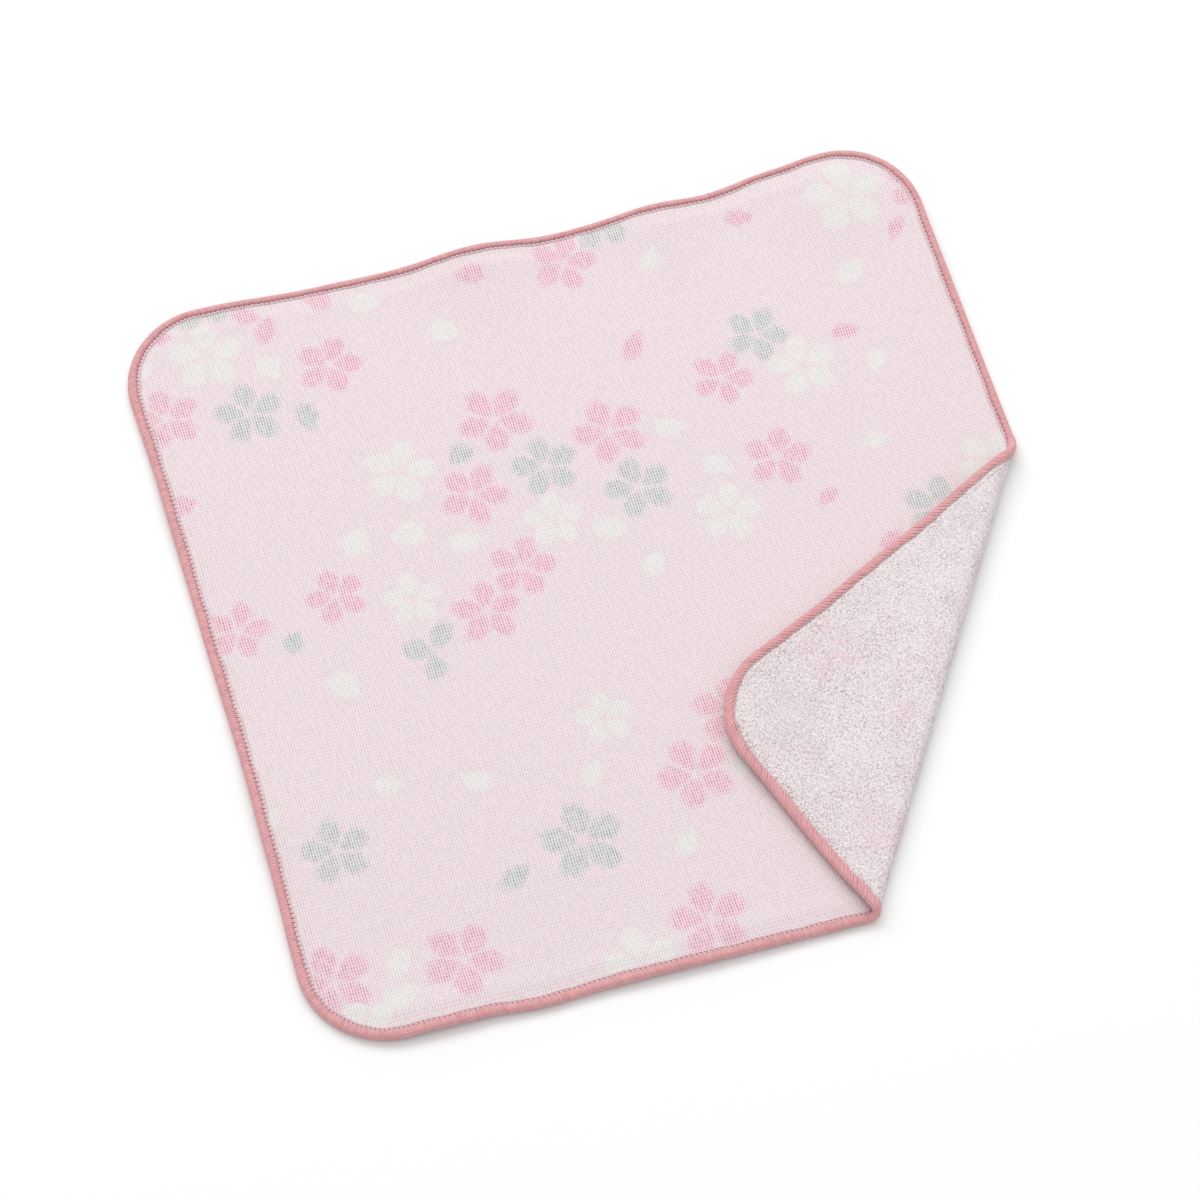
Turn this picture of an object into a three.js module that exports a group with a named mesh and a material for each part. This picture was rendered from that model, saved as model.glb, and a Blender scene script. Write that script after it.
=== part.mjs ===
// A folded towel handkerchief: one square of double-faced cotton, gauze on the front and terry on
// the back, with an overlocked edging all round. It lies front up, and its lower right corner is
// turned over on to it, so that the terry shows there.
//
// Millimetres, +Z up. The origin is the middle of the flat cloth's underside. +X runs along the
// lower edge to the right, and +Y runs towards the upper edge.
//
// Every shape is first placed on the flat cloth, at (u, v), and then laid in space by lay(u, v).
import * as THREE from 'three';

// The flat cloth
const HALF_SIDE = 125;
const CORNER_RADIUS = { upperLeft: 26, upperRight: 24, lowerRight: 24, lowerLeft: 26 };

// How far each side wanders out (+) or in (-) of the true square, at places along it
const WANDER = {
  left: [
    { at: -100, out: 1.2 },
    { at: -60, out: 0.1 },
    { at: -27, out: -0.5 },
    { at: 15, out: -0.1 },
    { at: 70, out: 0.2 },
    { at: 100, out: 0.9 },
  ],
  upper: [
    { at: -95, out: 0.2 },
    { at: -60, out: -1.6 },
    { at: -39, out: -2.1 },
    { at: -13, out: -1.7 },
    { at: 11, out: -2.7 },
    { at: 44, out: -1.7 },
    { at: 56, out: -1.9 },
    { at: 83, out: 0.8 },
    { at: 100, out: 2.2 },
  ],
  right: [
    { at: -80, out: -2.1 },
    { at: -45, out: -1.1 },
    { at: -10, out: -0.4 },
    { at: 25, out: -0.6 },
    { at: 107, out: -0.9 },
  ],
  lower: [
    { at: -95, out: -0.4 },
    { at: -78, out: -0.2 },
    { at: -60, out: 1.1 },
    { at: -43, out: 0.5 },
    { at: 28, out: 0.9 },
    { at: 60, out: 1.6 },
    { at: 95, out: 1.0 },
  ],
};

// Where the cloth lifts off the table in soft ripples: the top of each, and how far it spreads
const RIPPLES = [
  { u: -14, v: 125, lift: 3.0, spreadU: 16, spreadV: 22 },
  { u: 45, v: 124, lift: 2.2, spreadU: 14, spreadV: 20 },
  { u: 88, v: 122, lift: 1.2, spreadU: 16, spreadV: 20 },
  { u: 108, v: 116, lift: 2.2, spreadU: 22, spreadV: 22 },
  { u: -100, v: 122, lift: 0.6, spreadU: 18, spreadV: 20 },
  { u: -125, v: 60, lift: 0.7, spreadU: 18, spreadV: 22 },
  { u: -125, v: -45, lift: 0.9, spreadU: 18, spreadV: 26 },
  { u: -90, v: -125, lift: 1.0, spreadU: 20, spreadV: 18 },
  { u: -20, v: -125, lift: 0.8, spreadU: 26, spreadV: 16 },
  { u: 125, v: 78, lift: 0.8, spreadU: 18, spreadV: 22 },
];

// The cloth's thickness, gauze and terry together, and the edging that clasps its rim
const HALF_THICK = 1.0;
const RIM_HALF_THICK = 0.4;
const GAP = 0.35;
const EDGING_DEPTH = 3.9;
const EDGING_HALF_THICK = 1.4;
const EDGING_LIP_HALF_THICK = 1.1;
const EDGING_BACK = 1.0;
const RIM_INSET = EDGING_BACK + GAP;
const SQUEEZED_TO = 4.4;
const FULL_FROM = 8.0;
const LEVEL_FROM = 13.4;
const RIM_RISE = EDGING_HALF_THICK - HALF_THICK;

// The fold: the way across it, its distance from the cloth's middle, and the roll of the bend
const FOLD_TURN = THREE.MathUtils.degToRad(32.2);
const FOLD_AT = 94.7;
const ROLL_LOWER = 2.2;
const ROLL_UPPER = 3.1;
const FOLD_HALF_LENGTH = 95;

// The turned corner: it settles on the cloth, a little sheared and drawn in, with its tip raised
const FLAP_SPACING = 2.6;
const SETTLE_LENGTH = 16;
const TIP_LIFT = 1.2;
const TIP_REACH = 58;
const FLAP_SKEW = 0.08;
const FLAP_DRAWN_IN = 0.045;

// How finely the shapes are stepped
const ROW_STEP = 5.2;
const BEND_ROWS = 10;
const FLAP_ROWS = 10;
const INNER_COLUMNS = 12;
const END_WALL_DEPTH = 0.25;
const SIDE_STEP = 6.5;
const CORNER_STEPS = 12;
const BEND_STEP = 0.75;
const SHORT_ROW_SHARE = 0.6;
const HALVINGS = 40;
const EDGE_PASSES = 3;

const ACROSS = new THREE.Vector2(Math.cos(FOLD_TURN), -Math.sin(FOLD_TURN));
const ALONG = new THREE.Vector2(Math.sin(FOLD_TURN), Math.cos(FOLD_TURN));
const { lerp, smoothstep } = THREE.MathUtils;

// The smooth value of a table's `out` column at a place along a side
function wander(rows, at) {
  const next = rows.findIndex((row) => row.at > at);
  if (next === 0) return rows[0].out;
  if (next < 0) return rows[rows.length - 1].out;
  const before = rows[next - 1];
  const after = rows[next];
  return lerp(before.out, after.out, smoothstep(at, before.at, after.at));
}

// How far (u, v) lies inside the flat cloth's outline; negative outside it
function inset(u, v) {
  const fromLeft = HALF_SIDE + wander(WANDER.left, v) + u;
  const fromRight = HALF_SIDE + wander(WANDER.right, v) - u;
  const fromLower = HALF_SIDE + wander(WANDER.lower, u) + v;
  const fromUpper = HALF_SIDE + wander(WANDER.upper, u) - v;
  const sideways = u < 0 ? fromLeft : fromRight;
  const upwards = v < 0 ? fromLower : fromUpper;
  const corner = (v < 0 ? 'lower' : 'upper') + (u < 0 ? 'Left' : 'Right');
  const radius = CORNER_RADIUS[corner];
  if (sideways < radius && upwards < radius) {
    return radius - Math.hypot(radius - sideways, radius - upwards);
  }
  return Math.min(sideways, upwards);
}

function rollRadius(along) {
  const share = (along + FOLD_HALF_LENGTH) / (2 * FOLD_HALF_LENGTH);
  return lerp(ROLL_LOWER, ROLL_UPPER, THREE.MathUtils.clamp(share, 0, 1));
}

function rippleLift(u, v) {
  let lift = 0;
  for (const ripple of RIPPLES) {
    const du = (u - ripple.u) / ripple.spreadU;
    const dv = (v - ripple.v) / ripple.spreadV;
    lift += ripple.lift * Math.exp(-du * du - dv * dv);
  }
  return lift;
}

// The middle of the cloth's thickness, in space, for a place on the flat cloth
function middle(u, v) {
  const flat = new THREE.Vector2(u, v);
  const along = flat.dot(ALONG);
  const past = flat.dot(ACROSS) - FOLD_AT;
  const roll = rollRadius(along);
  const bend = Math.PI * roll;
  const rest = HALF_THICK + RIM_RISE * (1 - smoothstep(inset(u, v), SQUEEZED_TO, LEVEL_FROM));
  let reach = FOLD_AT + past;
  let slide = along;
  let height = 0;
  if (past <= 0) {
    height = rippleLift(u, v);
  } else if (past < bend) {
    const angle = past / roll;
    reach = FOLD_AT + roll * Math.sin(angle);
    height = roll * (1 - Math.cos(angle));
  } else {
    const beyond = past - bend;
    const settled = Math.exp(-((beyond / SETTLE_LENGTH) ** 2));
    reach = FOLD_AT - beyond * (1 - FLAP_DRAWN_IN);
    slide = along + beyond * FLAP_SKEW;
    height = lerp(FLAP_SPACING, 2 * roll, settled) + TIP_LIFT * (beyond / TIP_REACH) ** 2;
  }
  return new THREE.Vector3(
    reach * ACROSS.x + slide * ALONG.x,
    reach * ACROSS.y + slide * ALONG.y,
    rest + height,
  );
}

// A point that stands off the cloth's middle by `off`, towards its front where that is positive
function lay(u, v, off) {
  const nudge = 0.05;
  const alongU = middle(u + nudge, v).sub(middle(u - nudge, v));
  const alongV = middle(u, v + nudge).sub(middle(u, v - nudge));
  const front = alongU.cross(alongV).normalize();
  return middle(u, v).addScaledVector(front, off);
}

// Collects points and faces, and closes them into one geometry
class Shell {
  constructor() {
    this.points = [];
    this.faces = [];
  }

  add(point) {
    this.points.push(point.x, point.y, point.z);
    return this.points.length / 3 - 1;
  }

  quad(a, b, c, d) {
    this.faces.push(a, b, c, a, c, d);
  }

  // A patch whose cut runs with the fold: round a bend, that diagonal is the longer one
  bentQuad(a, b, c, d) {
    if (this.distance(a, c) > this.distance(b, d)) this.quad(a, b, c, d);
    else this.quad(b, c, d, a);
  }

  distance(a, b) {
    const from = new THREE.Vector3().fromArray(this.points, 3 * a);
    return from.distanceTo(new THREE.Vector3().fromArray(this.points, 3 * b));
  }

  geometry() {
    const made = new THREE.BufferGeometry();
    made.setAttribute('position', new THREE.Float32BufferAttribute(this.points, 3));
    made.setIndex(this.faces);
    made.computeVertexNormals();
    return made;
  }
}

// The value between `inner` and `outer` at which the inset along a row falls to `depth`
function findDepth(placeAt, inner, outer, depth) {
  let near = inner;
  let far = outer;
  for (let i = 0; i < HALVINGS; i += 1) {
    const half = (near + far) / 2;
    const place = placeAt(half);
    if (inset(place.x, place.y) > depth) near = half;
    else far = half;
  }
  return near;
}

function flatPlace(across, along) {
  return new THREE.Vector2(
    across * ACROSS.x + along * ALONG.x,
    across * ACROSS.y + along * ALONG.y,
  );
}

// The fold isn't square to the cloth's diagonal, so the rows are centred on a line that leans: it
// runs from the middle of one rounded corner to the middle of the opposite one
function rowCentre(across) {
  const toCorner = HALF_SIDE - CORNER_RADIUS.lowerRight;
  const corner = new THREE.Vector2(toCorner, -toCorner);
  return (across * corner.dot(ALONG)) / corner.dot(ACROSS);
}

// Rows of the cloth, all lying the way of the fold: each gives its distance across for a place along
function clothRows() {
  const centreLine = (across) => flatPlace(across, rowCentre(across));
  const first = findDepth(centreLine, 0, -2 * HALF_SIDE, RIM_INSET + END_WALL_DEPTH);
  const last = findDepth(centreLine, 0, 2 * HALF_SIDE, RIM_INSET + END_WALL_DEPTH);
  const closeSteps = [0, 1, SQUEEZED_TO - RIM_INSET, FULL_FROM - RIM_INSET];
  const rows = closeSteps.map((step) => () => first + step);
  const start = first + FULL_FROM - RIM_INSET;
  const count = Math.round((FOLD_AT - start) / ROW_STEP);
  for (let i = 1; i <= count; i += 1) {
    const across = lerp(start, FOLD_AT, i / count);
    rows.push(() => across);
  }
  for (let i = 1; i <= BEND_ROWS; i += 1) {
    const angle = (Math.PI * i) / BEND_ROWS;
    rows.push((along) => FOLD_AT + angle * rollRadius(along));
  }
  const flapEnd = last - closeSteps[closeSteps.length - 1];
  for (let i = 1; i <= FLAP_ROWS; i += 1) {
    const share = i / FLAP_ROWS;
    rows.push((along) => lerp(FOLD_AT + Math.PI * rollRadius(along), flapEnd, share));
  }
  for (const step of closeSteps.slice(0, -1).reverse()) rows.push(() => last - step);
  return rows;
}

// Places along one row: close together where the cloth thins at both ends, even in between
function clothColumns(row) {
  const centre = rowCentre(row(0));
  const placeAt = (along) => flatPlace(row(along), along);
  const middlePlace = placeAt(centre);
  const room = (inset(middlePlace.x, middlePlace.y) - RIM_INSET) / (FULL_FROM - RIM_INSET);
  const depths = [RIM_INSET, SQUEEZED_TO, FULL_FROM].map(
    (depth) => RIM_INSET + (depth - RIM_INSET) * Math.min(1, SHORT_ROW_SHARE * room),
  );
  const lower = depths.map((depth) => findDepth(placeAt, centre, centre - 2 * HALF_SIDE, depth));
  const upper = depths.map((depth) => findDepth(placeAt, centre, centre + 2 * HALF_SIDE, depth));
  const inner = [];
  for (let i = 1; i <= INNER_COLUMNS; i += 1) {
    inner.push(lerp(lower[2], upper[2], i / (INNER_COLUMNS + 1)));
  }
  return [...lower, ...inner, ...upper.reverse()].map(placeAt);
}

// Half the cloth's thickness at a depth inside its outline: squeezed where the edging clasps it
function halfThickness(depth) {
  return lerp(RIM_HALF_THICK, HALF_THICK, smoothstep(depth, SQUEEZED_TO, FULL_FROM));
}

function makeCloth() {
  const shell = new Shell();
  const grid = clothRows().map((row) => clothColumns(row).map((place) => {
    const half = halfThickness(inset(place.x, place.y));
    const front = shell.add(lay(place.x, place.y, half));
    const back = shell.add(lay(place.x, place.y, -half));
    return { front, back };
  }));
  const lastRow = grid.length - 1;
  const lastColumn = grid[0].length - 1;
  for (let r = 0; r < lastRow; r += 1) {
    for (let c = 0; c < lastColumn; c += 1) {
      const [a, b, d, e] = [grid[r][c], grid[r + 1][c], grid[r + 1][c + 1], grid[r][c + 1]];
      shell.quad(a.front, b.front, d.front, e.front);
      shell.quad(a.back, e.back, d.back, b.back);
    }
    wall(shell, grid[r + 1][0], grid[r][0]);
    wall(shell, grid[r][lastColumn], grid[r + 1][lastColumn]);
  }
  for (let c = 0; c < lastColumn; c += 1) {
    wall(shell, grid[0][c], grid[0][c + 1]);
    wall(shell, grid[lastRow][c + 1], grid[lastRow][c]);
  }
  return shell.geometry();
}

// One face of the cloth's raw rim, between two neighbouring places on it
function wall(shell, from, to) {
  shell.quad(from.front, to.front, to.back, from.back);
}

// Stations all round the true rounded square, anticlockwise, each with the way out of the cloth
function squareStations() {
  const corners = [
    { x: 1, y: -1, radius: CORNER_RADIUS.lowerRight, start: -90 },
    { x: 1, y: 1, radius: CORNER_RADIUS.upperRight, start: 0 },
    { x: -1, y: 1, radius: CORNER_RADIUS.upperLeft, start: 90 },
    { x: -1, y: -1, radius: CORNER_RADIUS.lowerLeft, start: 180 },
  ];
  const stations = [];
  corners.forEach((corner, index) => {
    for (let i = 0; i <= CORNER_STEPS; i += 1) {
      const angle = THREE.MathUtils.degToRad(corner.start + (90 * i) / CORNER_STEPS);
      const out = new THREE.Vector2(Math.cos(angle), Math.sin(angle));
      const centre = new THREE.Vector2(corner.x, corner.y).multiplyScalar(HALF_SIDE - corner.radius);
      stations.push({ place: centre.addScaledVector(out, corner.radius), out });
    }
    const next = corners[(index + 1) % corners.length];
    const from = stations[stations.length - 1];
    const goal = new THREE.Vector2(next.x, next.y).multiplyScalar(HALF_SIDE - next.radius);
    goal.addScaledVector(from.out, next.radius);
    stations.push(...sideStations(from, goal));
  });
  return stations;
}

// Stations along one straight side, closer together where it rolls over in the fold
function sideStations(from, goal) {
  const way = goal.clone().sub(from.place);
  const length = way.length();
  way.normalize();
  const slant = Math.abs(way.dot(ACROSS));
  const approach = SIDE_STEP * slant;
  const depthAcross = EDGING_DEPTH * Math.abs(from.out.dot(ACROSS));
  const made = [];
  let gone = 0;
  for (;;) {
    const place = from.place.clone().addScaledVector(way, gone);
    const past = place.dot(ACROSS) - FOLD_AT;
    const bend = Math.PI * rollRadius(place.dot(ALONG));
    const bending = past > -approach && past < bend + approach + depthAcross;
    gone += bending ? BEND_STEP / slant : SIDE_STEP;
    if (gone > length - SIDE_STEP / 2) return made;
    made.push({ place: from.place.clone().addScaledVector(way, gone), out: from.out });
  }
}

// The edging's section, a soft-cornered channel: depth in from the outline, and height off the middle
const EDGING_SECTION = [
  { depth: 0, off: 0.55 },
  { depth: 0.7, off: 1.25 },
  { depth: 2.2, off: EDGING_HALF_THICK },
  { depth: EDGING_DEPTH, off: EDGING_LIP_HALF_THICK },
  { depth: EDGING_DEPTH, off: RIM_HALF_THICK + GAP },
  { depth: (EDGING_DEPTH + EDGING_BACK) / 2, off: RIM_HALF_THICK + GAP },
  { depth: EDGING_BACK, off: RIM_HALF_THICK + GAP },
];

function makeEdging() {
  const shell = new Shell();
  const mirrored = EDGING_SECTION.map(({ depth, off }) => ({ depth, off: -off })).reverse();
  const section = [...EDGING_SECTION, ...mirrored];
  const rings = squareStations().map(({ place, out }) => {
    const edge = place.clone();
    for (let i = 0; i < EDGE_PASSES; i += 1) edge.addScaledVector(out, inset(edge.x, edge.y));
    return section.map(({ depth, off }) => {
      const spot = edge.clone().addScaledVector(out, -depth);
      return shell.add(lay(spot.x, spot.y, off));
    });
  });
  rings.forEach((ring, index) => {
    const next = rings[(index + 1) % rings.length];
    ring.forEach((point, i) => {
      const j = (i + 1) % ring.length;
      shell.bentQuad(point, next[i], next[j], ring[j]);
    });
  });
  return shell.geometry();
}

function piece(name, geometry, material) {
  const mesh = new THREE.Mesh(geometry, new THREE.MeshStandardMaterial(material));
  mesh.name = name;
  return mesh;
}

const group = new THREE.Group();
group.add(piece('cloth', makeCloth(), { color: 0xefdce1, roughness: 0.95, metalness: 0 }));
group.add(piece('edging', makeEdging(), { color: 0xe8a2a3, roughness: 0.7, metalness: 0 }));
export default group;
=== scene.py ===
# %% [markdown]
# # A folded towel handkerchief
# The real thing is one square of double-faced cotton: a thin printed gauze on the front and a terry
# pile on the back, with a thick overlocked edging all round. It lies front up, and its lower right
# corner is turned over, so that the white terry shows there.
# Every piece is first placed on the flat cloth, at u and v, and then laid in space by one function.
# A piece made that way follows the fold without any fitting.

# %% Load the frame and keep its parts
import math
from collections import namedtuple

import bmesh
import bpy
import numpy as np
from mathutils import Matrix, Vector


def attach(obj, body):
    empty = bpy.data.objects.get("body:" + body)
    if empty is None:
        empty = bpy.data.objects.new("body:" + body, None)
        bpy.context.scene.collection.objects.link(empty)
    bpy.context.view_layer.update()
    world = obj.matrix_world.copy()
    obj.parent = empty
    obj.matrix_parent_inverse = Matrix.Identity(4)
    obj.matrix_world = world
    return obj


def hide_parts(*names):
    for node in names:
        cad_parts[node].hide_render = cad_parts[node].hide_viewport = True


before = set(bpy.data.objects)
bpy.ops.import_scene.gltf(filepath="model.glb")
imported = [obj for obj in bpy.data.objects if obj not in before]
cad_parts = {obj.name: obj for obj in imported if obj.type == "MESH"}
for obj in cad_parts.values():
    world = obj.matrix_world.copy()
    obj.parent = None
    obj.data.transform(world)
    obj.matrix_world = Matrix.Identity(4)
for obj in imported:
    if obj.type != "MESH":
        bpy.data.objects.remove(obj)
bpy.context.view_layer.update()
MM = 0.001

# %% [markdown]
# ## Camera
# The photograph looks down on the cloth from its lower left, from far away with a long lens, and the
# camera leans a little. A camera's axes can be set as the columns of a matrix: that keeps the lean
# exact, where a "look at" constraint would leave it out.

# %% Camera
CAMERA_PLACE = Vector((-233.1, -693.6, 1271.1)) * MM
CAMERA_DOWN = math.radians(60.3)
CAMERA_TURN = math.radians(17.93)
CAMERA_LEAN = math.radians(1.75)
LENS = 150
SENSOR_WIDTH = 36


def add_camera():
    level = math.cos(CAMERA_DOWN)
    look = Vector((math.sin(CAMERA_TURN) * level, math.cos(CAMERA_TURN) * level, -math.sin(CAMERA_DOWN)))
    right = look.cross(Vector((0, 0, 1))).normalized()
    up = right.cross(look)
    lean = Matrix.Rotation(CAMERA_LEAN, 3, -look)
    axes = Matrix((lean @ right, lean @ up, -look)).transposed()
    camera = bpy.data.objects.new("camera", bpy.data.cameras.new("camera"))
    camera.data.lens = LENS
    camera.data.sensor_width = SENSOR_WIDTH
    camera.matrix_world = Matrix.Translation(CAMERA_PLACE) @ axes.to_4x4()
    bpy.context.collection.objects.link(camera)
    bpy.context.scene.camera = camera
    return camera


camera = add_camera()
print("camera at", tuple(round(x, 3) for x in camera.location))

# %% [markdown]
# ## Helpers for materials
# A material is a graph of nodes. These three helpers keep the graphs short: one adds a node and
# plugs its inputs, one does sums on sockets or numbers, and one mixes two colours.


# %% Node helpers
class Graph:
    """A material's node tree, with short ways to add to it."""

    def __init__(self, name):
        self.material = bpy.data.materials.new(name)
        self.material.use_nodes = True
        self.tree = self.material.node_tree
        self.tree.nodes.clear()

    def plug(self, socket, value):
        if isinstance(value, bpy.types.NodeSocket):
            self.tree.links.new(value, socket)
        else:
            socket.default_value = value

    def add(self, kind, inputs=None, **settings):
        node = self.tree.nodes.new("ShaderNode" + kind)
        for key, value in settings.items():
            setattr(node, key, value)
        for key, value in (inputs or {}).items():
            self.plug(node.inputs[key], value)
        return node

    def sum(self, operation, *values):
        node = self.tree.nodes.new("ShaderNodeMath")
        node.operation = operation
        for socket, value in zip(node.inputs, values):
            self.plug(socket, value)
        return node.outputs[0]

    def blend(self, factor, low, high):
        node = self.add("Mix", data_type="RGBA")
        self.plug(node.inputs["Factor"], factor)
        self.plug(node.inputs[6], low)
        self.plug(node.inputs[7], high)
        return node.outputs[2]

    def ramp(self, value, low, high):
        """0 below low, 1 above high, and a soft slope in between."""
        node = self.add("MapRange", {"Value": value, "From Min": low, "From Max": high})
        node.interpolation_type = "SMOOTHSTEP"
        return node.outputs["Result"]

    def finish(self, **sockets):
        shader = self.add("BsdfPrincipled")
        for key, value in sockets.items():
            self.plug(shader.inputs[key.replace("_", " ")], value)
        out = self.add("OutputMaterial")
        self.tree.links.new(shader.outputs[0], out.inputs["Surface"])
        return self.material


def linear(red, green, blue):
    """A colour as a colour picker shows it, 0 to 255, turned into the values that light adds up in."""
    shares = [channel / 255 for channel in (red, green, blue)]
    return tuple(x / 12.92 if x <= 0.04045 else ((x + 0.055) / 1.055) ** 2.4 for x in shares) + (1.0,)


# %% [markdown]
# ## Floor and light
# The cloth lies on a plain white floor, in soft light that comes mostly from behind. A wide area
# light there gives shadows with soft rims, a second one above keeps them pale, and a bright world
# fills them from all round.

# %% Floor
FLOOR_SIZE = 4.0
FLOOR_WHITE = 0.885


def add_object(name, mesh, *materials):
    thing = bpy.data.objects.new(name, mesh)
    bpy.context.collection.objects.link(thing)
    for material in materials:
        mesh.materials.append(material)
    return thing


def white_floor():
    graph = Graph("white_floor")
    colour = (FLOOR_WHITE, FLOOR_WHITE, FLOOR_WHITE, 1.0)
    return graph.finish(Base_Color=colour, Roughness=0.8, Specular_IOR_Level=0.1)


def add_floor():
    bm = bmesh.new()
    bmesh.ops.create_grid(bm, x_segments=1, y_segments=1, size=FLOOR_SIZE / 2)
    mesh = bpy.data.meshes.new("floor")
    bm.to_mesh(mesh)
    bm.free()
    floor = add_object("floor", mesh, white_floor())
    return floor


add_floor()

# %% Lights
WORLD_LIGHT = 0.71
Lamp = namedtuple("Lamp", "name place size power")
LAMPS = [
    Lamp("window_behind", (0.15, 1.4, 1.6), (3.0, 1.1), 29.0),
    Lamp("soft_above", (-0.2, 0.1, 2.4), (2.0, 2.0), 7.0),
]


def add_lamp(lamp):
    light = bpy.data.lights.new(lamp.name, "AREA")
    light.shape = "RECTANGLE"
    light.size, light.size_y = lamp.size
    light.energy = lamp.power
    holder = bpy.data.objects.new(lamp.name, light)
    holder.location = lamp.place
    holder.rotation_euler = (-Vector(lamp.place)).to_track_quat("-Z", "Y").to_euler()
    bpy.context.collection.objects.link(holder)


def add_world():
    world = bpy.data.worlds.new("studio")
    world.use_nodes = True
    background = world.node_tree.nodes["Background"]
    background.inputs["Color"].default_value = (1.0, 1.0, 1.0, 1.0)
    background.inputs["Strength"].default_value = WORLD_LIGHT
    bpy.context.scene.world = world


for lamp in LAMPS:
    add_lamp(lamp)
add_world()
bpy.context.scene.view_settings.view_transform = "Standard"

# %% [markdown]
# ## The flat cloth
# All sizes from here on are in millimetres. The cut is a square with round corners, and each side
# wanders a little, as a sewn edge does. The wandering is written as a few places along each side,
# with smooth steps between them.

# %% Sizes of the flat cloth
HALF_SIDE = 125
CORNER_RADIUS = {"upper left": 26, "upper right": 24, "lower right": 24, "lower left": 26}
# Each row is (place along the side, how far out it lies)
WANDER = {
    "left": [(-100, 1.2), (-60, 0.1), (-27, -0.5), (15, -0.1), (70, 0.2), (100, 0.9)],
    "upper": [(-95, 0.2), (-60, -1.6), (-39, -2.1), (-13, -1.7), (11, -2.7), (44, -1.7), (56, -1.9),
              (83, 0.8), (100, 2.2)],
    "right": [(-80, -2.1), (-45, -1.1), (-10, -0.4), (25, -0.6), (107, -0.9)],
    "lower": [(-95, -0.4), (-78, -0.2), (-60, 1.1), (-43, 0.5), (28, 0.9), (60, 1.6), (95, 1.0)],
}


def smoothstep(value, low, high):
    share = np.clip((value - low) / (high - low), 0, 1)
    return share * share * (3 - 2 * share)


def lerp(low, high, share):
    return low + (high - low) * share


def smooth_rows(rows, at):
    """Reads a table of (place, value), with a smooth step from each row to the next."""
    out = np.full(np.shape(at), float(rows[0][1]))
    for (start, before), (end, after) in zip(rows, rows[1:]):
        out = out + (after - before) * smoothstep(at, start, end)
    return out


def wander(side, at):
    return smooth_rows(WANDER[side], at)


def inset(u, v):
    """How far (u, v) lies inside the flat outline."""
    sideways = np.where(u < 0, HALF_SIDE + wander("left", v) + u, HALF_SIDE + wander("right", v) - u)
    upwards = np.where(v < 0, HALF_SIDE + wander("lower", u) + v, HALF_SIDE + wander("upper", u) - v)
    radius = corner_radius(u, v)
    straight = np.minimum(sideways, upwards)
    rounded = radius - np.hypot(radius - sideways, radius - upwards)
    return np.where((sideways < radius) & (upwards < radius), rounded, straight)


def corner_radius(u, v):
    lower = np.where(u < 0, CORNER_RADIUS["lower left"], CORNER_RADIUS["lower right"])
    upper = np.where(u < 0, CORNER_RADIUS["upper left"], CORNER_RADIUS["upper right"])
    return np.where(v < 0, lower, upper)


def wandered(x, y):
    """Moves a place on the true round-cornered square to its place on the real, wandering one."""
    stretch_x = np.where(x < 0, wander("left", y), wander("right", y)) / HALF_SIDE
    stretch_y = np.where(y < 0, wander("lower", x), wander("upper", x)) / HALF_SIDE
    return x * (1 + stretch_x), y * (1 + stretch_y)


print("inset at the middle:", float(inset(np.array(0.0), np.array(0.0))))

# %% [markdown]
# ## Laying the cloth
# Most of the cloth lies flat, with soft ripples near its edges. Past the fold it turns over a small
# roll, settles back on the layer below, and rises again at its tip. A simulation could drop a cloth
# like this, but it would not land in the photograph's folds, so the route is written as a formula.

# %% Sizes of the ripples, the fold and the turned corner
Ripple = namedtuple("Ripple", "u v lift spread_u spread_v")
RIPPLES = [
    Ripple(-14, 125, 3.0, 16, 22),
    Ripple(45, 124, 2.2, 14, 20),
    Ripple(88, 122, 1.2, 16, 20),
    Ripple(108, 116, 2.2, 22, 22),
    Ripple(-100, 122, 0.6, 18, 20),
    Ripple(-125, 60, 0.7, 18, 22),
    Ripple(-125, -45, 0.9, 18, 26),
    Ripple(-90, -125, 1.0, 20, 18),
    Ripple(-20, -125, 0.8, 26, 16),
    Ripple(125, 78, 0.8, 18, 22),
]
HALF_THICK = 1.0
RIM_HALF_THICK = 0.4
EDGING_HALF_THICK = 1.4
RIM_INSET = 1.35
SQUEEZED_TO = 4.4
FULL_FROM = 8.0
LEVEL_FROM = 13.4
RIM_RISE = EDGING_HALF_THICK - HALF_THICK
FOLD_TURN = math.radians(32.2)
FOLD_AT = 94.7
ROLL_LOWER = 1.8
ROLL_UPPER = 3.1
FOLD_HALF_LENGTH = 95
FLAP_SPACING = 2.45
SETTLE_LENGTH = 12
TIP_LIFT = 1.1
TIP_REACH = 58
FLAP_SKEW = 0.08
FLAP_DRAWN_IN = 0.055
ACROSS = np.array([math.cos(FOLD_TURN), -math.sin(FOLD_TURN)])
ALONG = np.array([math.sin(FOLD_TURN), math.cos(FOLD_TURN)])


# %% Laying a place on the flat cloth in space
def past_fold(u, v):
    return u * ACROSS[0] + v * ACROSS[1] - FOLD_AT


def roll_radius(u, v):
    along = u * ALONG[0] + v * ALONG[1]
    share = np.clip((along + FOLD_HALF_LENGTH) / (2 * FOLD_HALF_LENGTH), 0, 1)
    return lerp(ROLL_LOWER, ROLL_UPPER, share)


def ripple_lift(u, v):
    lift = 0
    for r in RIPPLES:
        lift = lift + r.lift * np.exp(-((u - r.u) / r.spread_u) ** 2 - ((v - r.v) / r.spread_v) ** 2)
    return lift


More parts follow.
